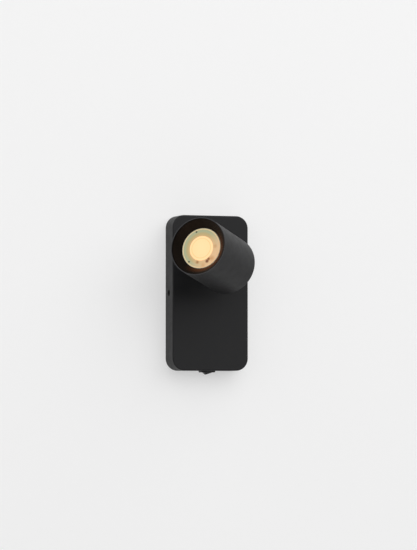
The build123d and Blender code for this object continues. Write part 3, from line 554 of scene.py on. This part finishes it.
lampOptic = {
    "radius": 15.0, "front": 81.2, "dome": 1.2, "edge": 0.1, "rim": 2.0,
    "facetPitch": 1.5, "facetDepth": 0.06,
    "tailRadius": 5.0, "tailLength": 14.4,
    "glow": 1.3,
    "stops": (
        (0.0, "#ffc792"), (11.6, "#ffc48e"), (12.2, "#eeae70"), (12.8, "#ffc48e"),
        (14.5, "#ffc690"), (15.0, "#fcc890")),
    "skin": {"sizeMm": 3.0, "colours": ("#2c2824", "#383430"), "roughness": (0.12, 0.2)},
}
baffle = {
    "front": 89.4, "outer": 34.55, "gauge": 1.2, "frontEdge": 0.2,
    "seat": 83.4, "seatLength": 3.0,
    "innerBack": 80.5, "inner": 25.7, "skirtBack": 75.5,
    "ribPitch": 1.0, "ribDepth": 0.22, "ribFade": 12,  # ribs reach full depth in 1/12 of the cone
    "skin": {"sizeMm": 6.0, "colours": ("#0f0c0b", "#14110f"), "roughness": (0.45, 0.58)},
    # painted light: a warm tint on the paint's reflections, and the lamp's warm glow painted on the
    # cone near the lamp, towards one side
    "paintedWarmShine": "#ffd9b8",
    "paintedLampGlow": "#6b3f24", "paintedLampGlowFrom": 25.6, "paintedLampGlowTo": 32, "paintedLampGlowWay": (0.9, -0.44, 0),
    # the way towards which the reflections are dulled: painted shade
    "paintedShadeWay": (-0.7, -0.71, 0),
    "shine": (0.24, 0.06),  # full, and where painted shade dulls it
}


def planarMap(piece):
    # a UV map from the head's two cross directions: the lamp's axis is at (0.5, 0.5)
    mesh = piece.data
    corner = np.empty(len(mesh.loops), int)
    mesh.loops.foreach_get("vertex_index", corner)
    place = np.empty(len(mesh.vertices) * 3)
    mesh.vertices.foreach_get("co", place)
    fromAxis = (place.reshape(-1, 3) - headBack)[corner] / (faceSpan * mm)
    flat = np.stack([fromAxis @ headUp + 0.5, fromAxis @ headAcross + 0.5], -1)
    mesh.uv_layers.new(name="faceMap").data.foreach_set("uv", flat.ravel())


def dotTool(turn, away, radius, front, depth):
    # a small cylinder that drills one dot
    angle, clear = math.radians(turn), shaping["toolClear"]
    tool = lathe("dot", [0, radius, radius, 0], [-depth, -depth, clear, clear], 20, False)
    for vertex in tool.vertices:
        vertex.co += Vector((away * math.cos(angle), away * math.sin(angle), front))
    return tool


def lampFaceMesh(look):
    # level = front - sink - ridgeDepth * (1 + cos(fullTurn * r / pitch)) / 2, then a raised lip
    inner, outer, front = look["inner"], look["outer"], look["front"]
    lip, back = outer - look["lip"], front - look["thick"]
    r = np.linspace(inner + 0.15, lip - look["lipGap"], 57)
    ripple = look["ridgeDepth"] * (1 + np.cos(fullTurn * r / look["ridgePitch"])) / 2
    ridges = front - look["sink"] - ripple
    radius = np.concatenate([[inner], r, [lip, outer - 0.25, outer, outer, inner]])
    level = np.concatenate([[front - look["bevel"]], ridges,
                            [front, front, front - look["lipEdge"], back, back]])
    ring = lathe("ring", radius, level, turnSides, True)
    return cutAway(ring, [dotTool(turn, away, look["dotRadius"], front, look["dotDepth"])
                          for turn, away in look["dots"]])


def opticMesh(look):
    # a shallow dome, z = dome * (1 - (r / R)^2), dimpled in rings, on a tapering tail
    wide, front = look["radius"], look["front"]
    r = np.linspace(0, wide - look["edge"], 61)
    dome = front + look["dome"] * (1 - (r / wide) ** 2)
    dimple = look["facetDepth"] * (1 - np.cos(fullTurn * r / look["facetPitch"])) / 2
    tail = front - look["tailLength"]
    radius = np.concatenate([r, [wide, wide, look["tailRadius"], 0.0]])
    level = np.concatenate([dome - dimple, [front - look["edge"], front - look["rim"], tail, tail]])
    return lathe("optic", radius, level, turnSides, False)


def baffleMesh(look):
    # the seen face is a cone whose radius steps in and out: ribDepth * |sin(pi * run / ribPitch)|
    gauge, inner, outer = look["gauge"], look["inner"], look["outer"]
    near = np.array((look["front"], outer - gauge))
    far = np.array((look["innerBack"] + gauge, inner))
    run = np.linalg.norm(far - near)
    t = np.linspace(0, 1, int(run / look["ribPitch"] * 8))
    line = near + (far - near) * t[:, None]
    across = np.array((far[1] - near[1], near[0] - far[0])) / run
    ribs = np.abs(np.sin(math.pi * t * run / look["ribPitch"]))
    depth = look["ribDepth"] * ribs * np.clip(np.minimum(t, 1 - t) * look["ribFade"], 0, 1)
    seen = line + across * depth[:, None]
    rest = np.array([
        (look["skirtBack"], inner), (look["skirtBack"], inner + gauge),
        (look["innerBack"], inner + gauge),
        (look["seat"] + look["seatLength"], outer - gauge), (look["seat"], outer - gauge),
        (look["seat"], outer), (look["front"] - look["frontEdge"], outer),
        (look["front"], outer - look["frontEdge"])])
    profile = np.concatenate([seen, rest])
    return lathe("baffle", profile[:, 1], profile[:, 0], turnSides, True)


def faceMapped(tree):
    # a point's offset from the lamp's axis on the face map, and its distance
    mapped = addNode(tree, "ShaderNodeUVMap", {"uv_map": "faceMap"}).outputs["UV"]
    middle = addNode(tree, "ShaderNodeVectorMath", {
        "operation": "SUBTRACT", 1: (0.5, 0.5, 0)}, {0: mapped}).outputs["Vector"]
    away = addNode(tree, "ShaderNodeVectorMath", {"operation": "LENGTH"}, {0: middle})
    return middle, away.outputs["Value"]


def faceGlow(name, sockets, look):
    # emission by distance from the lamp's axis
    material, tree, shader, place = newMaterial(name, sockets)
    middle, away = faceMapped(tree)
    ramp = addNode(tree, "ShaderNodeValToRGB", None, {"Fac": away})
    table = ramp.color_ramp
    while len(table.elements) < len(look["stops"]):
        table.elements.new(0.5)
    for element, (distance, colour) in zip(table.elements, look["stops"]):
        element.position, element.color = distance / faceSpan, linear(colour)
    shader.inputs["Emission Strength"].default_value = look["glow"]
    mottle(tree, shader, place, look["skin"])
    tree.links.new(ramp.outputs["Color"], shader.inputs["Emission Color"])
    return material, tree, shader, middle, ramp.outputs["Color"]


def ringMaterial(look):
    # frosted polycarbonate lit from behind by the board: grey-green, peach next to the lens
    material, tree, shader, middle, colour = faceGlow("lamp_ring_grey", {"IOR": 1.58}, look)
    # warmer on the side away from the light, with brown and amber spots at listed places, and
    # painted shade in the two drilled dots
    side = addNode(tree, "ShaderNodeVectorMath", {
        "operation": "DOT_PRODUCT", 1: look["warmWay"]}, {0: middle})
    warm = addNode(tree, "ShaderNodeMapRange", {
        "From Min": -0.05, "From Max": 0.38, "To Min": 0.0, "To Max": 0.9},
        {"Value": side.outputs["Value"]})
    warmed = addNode(tree, "ShaderNodeMix", {
        "data_type": "RGBA", 7: linear(look["warmColour"])}, {0: warm.outputs["Result"], 6: colour})
    seen = warmed.outputs[2]
    # the last two spots sit on the drilled dots: painted shade in the holes
    for turn, awayMm, sizeMm, strength, markColour in look["marks"]:
        angle, away = math.radians(turn), awayMm / faceSpan
        centre = (away * math.cos(angle), away * math.sin(angle), 0)
        gap = addNode(tree, "ShaderNodeVectorMath", {
            "operation": "DISTANCE", 1: centre}, {0: middle})
        mark = addNode(tree, "ShaderNodeMapRange", {
            "From Min": 0.0, "From Max": sizeMm / faceSpan, "To Min": strength, "To Max": 0.0},
            {"Value": gap.outputs["Value"]})
        mixed = addNode(tree, "ShaderNodeMix", {
            "data_type": "RGBA", 7: linear(markColour)}, {0: mark.outputs["Result"], 6: seen})
        seen = mixed.outputs[2]
    frost = addNode(tree, "ShaderNodeVectorMath", {
        "operation": "MULTIPLY", 1: (look["frost"],) * 3}, {0: seen})
    tree.links.new(seen, shader.inputs["Emission Color"])
    tree.links.new(frost.outputs["Vector"], shader.inputs["Base Color"])
    return material


def opticMaterial(look):
    # clear acrylic over the light source: so bright that it is almost even, with one faint ring
    return faceGlow("lamp_lens", {"IOR": 1.49}, look)[0]


def baffleMaterial(look):
    # black paint over a turned cone; the lamp's warm light on its rings, most next to the lamp, is
    # a painted glow in the base colour, and the warm tint of its reflections is painted too
    material, tree, shader, place = newMaterial("black_powder_coat.baffle", {
        "IOR": 1.5, "Specular Tint": linear(look["paintedWarmShine"])})
    paint = mottle(tree, shader, place, look["skin"])
    middle, away = faceMapped(tree)
    near = addNode(tree, "ShaderNodeMapRange", {
        "From Min": look["paintedLampGlowFrom"] / faceSpan, "From Max": look["paintedLampGlowTo"] / faceSpan,
        "To Min": 1.0, "To Max": 0.0}, {"Value": away})
    side = addNode(tree, "ShaderNodeVectorMath", {
        "operation": "DOT_PRODUCT", 1: look["paintedLampGlowWay"]}, {0: middle})
    lit = addNode(tree, "ShaderNodeMapRange", {
        "From Min": 0.0, "From Max": 0.5}, {"Value": side.outputs["Value"]})
    share = addNode(tree, "ShaderNodeMath", {"operation": "MULTIPLY"}, {
        0: near.outputs["Result"], 1: lit.outputs["Result"]})
    # the painted glow is mixed into the paint's colour, by distance and by side
    warm = addNode(tree, "ShaderNodeMix", {
        "data_type": "RGBA", 7: linear(look["paintedLampGlow"])}, {0: share.outputs["Value"], 6: paint})
    tree.links.new(warm.outputs[2], shader.inputs["Base Color"])
    # painted shade: the reflections are dulled towards the lower left, where the key light would
    # catch the cone
    left = addNode(tree, "ShaderNodeVectorMath", {
        "operation": "DOT_PRODUCT", 1: look["paintedShadeWay"]}, {0: middle})
    dull = addNode(tree, "ShaderNodeMapRange", {
        "From Min": 0.05, "From Max": 0.45, "To Min": look["shine"][0], "To Max": look["shine"][1]},
        {"Value": left.outputs["Value"]})
    tree.links.new(dull.outputs["Result"], shader.inputs["Specular IOR Level"])
    grain(tree, shader, place, finishes["black_powder_coat"]["grain"])
    return material


for name, mesh, material, node in (
        ("lamp_face", lampFaceMesh(lampFace), ringMaterial(lampFace), "lamp_front_ring"),
        ("lamp_optic", opticMesh(lampOptic), opticMaterial(lampOptic), "lamp_lens"),
        ("ribbed_baffle", baffleMesh(baffle), baffleMaterial(baffle), "front_baffle")):
    turned = setOut(name, mesh, [headAxes], material)
    planarMap(turned)
    standFor(turned, node)
print("lamp face, lens and baffle turned")


# Sharp-cornered pieces get their edges eased: a copy of the node's mesh, merged, with a bevel.
# Each number is the bevel's width in millimetres.
easedEdges = {
    "wall_bracket": 0.25, "pivot_bracket": 0.2, "lampholder_saddle": 0.2, "stop_washer": 0.12,
    "wave_washer": 0.12, "friction_washer": 0.12, "swivel_washer": 0.1, "pivot_washers": 0.1,
    "terminal_block": 0.35, "terminal_sleeves": 0.15, "switch_tabs": 0.12, "switch_housing": 0.2,
    "rocker": 0.35, "lampholder": 0.3, "lamp_pins": 0.25, "lamp_body": 0.35, "light_board": 0.2,
}
easing = {
    "mergeAt": 2e-6,  # metres
    "flatAngle": 0.6,  # degrees: flatter joints between faces are dissolved
    "edgeAngle": 34,  # degrees: sharper edges are kept sharp and bevelled
}


def eased(node, edgeMm, material):
    mesh = nodes[node].data.copy()
    mesh.materials.clear()
    work = bmesh.new()
    work.from_mesh(mesh)
    bmesh.ops.remove_doubles(work, verts=work.verts, dist=easing["mergeAt"])
    bmesh.ops.dissolve_limit(work, angle_limit=math.radians(easing["flatAngle"]),
                             verts=work.verts, edges=work.edges)
    work.to_mesh(mesh)
    work.free()
    if "custom_normal" in mesh.attributes:
        mesh.attributes.remove(mesh.attributes["custom_normal"])
    mesh.shade_smooth()
    mesh.set_sharp_from_angle(angle=math.radians(easing["edgeAngle"]))
    mesh.materials.append(material)
    piece = bpy.data.objects.new(node + "_eased", mesh)
    bpy.context.scene.collection.objects.link(piece)
    bevel = piece.modifiers.new("edge", "BEVEL")
    bevel.width, bevel.segments = edgeMm * mm, 2
    bevel.limit_method, bevel.angle_limit = "ANGLE", math.radians(easing["edgeAngle"])
    bevel.harden_normals = True
    standFor(piece, node)


for node, edgeMm in easedEdges.items():
    eased(node, edgeMm, materials[slotOf[node]])
print("edges eased:", len(easedEdges))


# the flat rim's lighter grey is a painted highlight
rimHighlightBand = {"level": 90.9, "fade": 0.05, "colour": "#3e3e40"}  # millimetres from the head's rear


def shellCoat(rim):
    # the same powder coat, painted a lighter grey on the flat rim in front: a painted highlight for
    # the light line round the rim
    look = finishes["black_powder_coat"]
    material, tree, shader, place = newMaterial("black_powder_coat.rim", look["sockets"])
    paint = mottle(tree, shader, place, look)
    out = tuple(float(c) for c in headOut)
    level = addNode(tree, "ShaderNodeVectorMath", {"operation": "DOT_PRODUCT", 1: out}, {0: place})
    start = float(headBack @ headOut) + rim["level"] * mm
    front = addNode(tree, "ShaderNodeMapRange", {
        "From Min": start, "From Max": start + rim["fade"] * mm}, {"Value": level.outputs["Value"]})
    # painted highlight on the rim's flat face
    paintedRimHighlight = addNode(tree, "ShaderNodeMix", {
        "data_type": "RGBA", 7: linear(rim["colour"])}, {0: front.outputs["Result"], 6: paint})
    tree.links.new(paintedRimHighlight.outputs[2], shader.inputs["Base Color"])
    grain(tree, shader, place, look["grain"])
    return material


earthSleeve = {
    "sockets": {"IOR": 1.53, "Roughness": 0.38},
    "green": "#2f8a3a", "yellow": "#e0c928",
    "bandScale": 120.0,
    "bandEdge": (0.45, 0.55),
    "grain": [(1.5, 0.01)],
}


def stripedSleeve(look):
    # extruded PVC in two colours: green and yellow bands that cross the lead on a slant
    material, tree, shader, place = newMaterial("sleeve_green_yellow", look["sockets"])
    bands = addNode(tree, "ShaderNodeTexWave", {
        "wave_type": "BANDS", "bands_direction": "DIAGONAL",
        "Scale": look["bandScale"], "Distortion": 0.0}, {"Vector": place})
    stripe = addNode(tree, "ShaderNodeMapRange", {
        "data_type": "FLOAT_VECTOR", 7: (look["bandEdge"][0],) * 3, 8: (look["bandEdge"][1],) * 3,
        9: linear(look["green"])[:3], 10: linear(look["yellow"])[:3]}, {6: bands.outputs["Fac"]})
    tree.links.new(stripe.outputs["Vector"], shader.inputs["Base Color"])
    grain(tree, shader, place, look["grain"])
    return material


# The CAD's own nodes: the lamp's ring and lens have no finish in the table, because other pieces
# stand for them.
materials["sleeve_green_yellow"] = stripedSleeve(earthSleeve)
for name, node in nodes.items():
    node.data.materials.clear()
    node.data.materials.append(materials.get(slotOf[name], materials["lamp_white"]))
nodes["head_shell"].data.materials[0] = shellCoat(rimHighlightBand)
print("nodes dressed")


view = {
    "place": (-1.319, -3.662, -0.144),  # metres, from the fixings
    "aim": (-0.00219, -0.025, 0.02208),
    "lens": 207.0,
    "near": 0.05,
    "far": 50,
}


def makeCamera(settings):
    data = bpy.data.cameras.new("camera")
    camera = bpy.data.objects.new("camera", data)
    bpy.context.scene.collection.objects.link(camera)
    data.lens = settings["lens"]
    data.clip_start, data.clip_end = settings["near"], settings["far"]
    camera.location = settings["place"]
    look = Vector(settings["aim"]) - camera.location
    camera.rotation_euler = look.to_track_quat("-Z", "Y").to_euler()
    bpy.context.scene.camera = camera


makeCamera(view)


room = {
    "wallColour": "#b7b7b7",
    "wallGlow": 0.49,  # a light wall that glows a little, which keeps its shadows faint
    "floorColour": "#bdbdbd",
    "wallSize": 4.0,  # metres, as are the others
    "wallGap": 0.0002,  # between the cover's back and the wall
    "wallBox": (0.084, 0.176),  # the opening in the wall behind the cover
    "floorDrop": 1.6,  # the light hangs this far above the floor
    "worldColour": "#ffffff",
    "worldStrength": 0.21,
}
lamps = [
    {"name": "keyLight", "place": (1.2, -2.5, 2.1), "size": 4.4, "power": 106.0},
    {"name": "fillLight", "place": (-2.0, -1.9, 1.5), "size": 4.0, "power": 32.0},
    {"name": "backLight", "place": (0.7, 1.6, 0.9), "size": 1.4, "power": 24.0},  # into the back
]


def panel(name, corners, faces, material):
    mesh = bpy.data.meshes.new(name)
    mesh.from_pydata(corners, [], faces)
    mesh.materials.append(material)
    thing = bpy.data.objects.new(name, mesh)
    bpy.context.scene.collection.objects.link(thing)


def roomPaint(name, colour, glow):
    # matt emulsion; the sheet is one-sided, so that nothing hides the object from behind or below
    material, tree, shader, _ = newMaterial(name, {
        "Base Color": linear(colour), "Roughness": 0.9, "Emission Strength": glow})
    side = addNode(tree, "ShaderNodeNewGeometry").outputs["Backfacing"]
    clear = addNode(tree, "ShaderNodeBsdfTransparent").outputs["BSDF"]
    both = addNode(tree, "ShaderNodeMixShader", None, {
        0: side, 1: shader.outputs["BSDF"], 2: clear})
    tree.links.new(both.outputs["Shader"], tree.nodes["Material Output"].inputs["Surface"])
    return material


def makeRoom(settings, lights):
    # a wall with an opening, made of four sheets round it, and a floor in front
    half, low = settings["wallSize"] / 2, -settings["floorDrop"]
    back, (wide, tall) = settings["wallGap"], settings["wallBox"]
    x, z = wide / 2, tall / 2
    outer = [(-half, back, low), (half, back, low), (half, back, half), (-half, back, half)]
    inner = [(-x, back, -z), (x, back, -z), (x, back, z), (-x, back, z)]
    panel("wall", outer + inner, [(0, 1, 5, 4), (1, 2, 6, 5), (2, 3, 7, 6), (3, 0, 4, 7)],
          roomPaint("wall_paint", settings["wallColour"], settings["wallGlow"]))
    floor = [(-half, -2 * half, low), (half, -2 * half, low), (half, half, low), (-half, half, low)]
    panel("floor", floor, [(0, 1, 2, 3)], roomPaint("floor_paint", settings["floorColour"], 0.0))
    world = bpy.data.worlds.new("world")
    world.use_nodes = True
    background = world.node_tree.nodes["Background"]
    background.inputs["Color"].default_value = linear(settings["worldColour"])
    background.inputs["Strength"].default_value = settings["worldStrength"]
    bpy.context.scene.world = world
    bpy.context.scene.view_settings.view_transform = "Standard"
    for lamp in lights:
        data = bpy.data.lights.new(lamp["name"], "AREA")
        data.size = lamp["size"]
        data.energy = lamp["power"]
        light = bpy.data.objects.new(lamp["name"], data)
        bpy.context.scene.collection.objects.link(light)
        light.location = lamp["place"]
        light.rotation_euler = (-light.location).to_track_quat("-Z", "Y").to_euler()


makeRoom(room, lamps)
print("room lit")
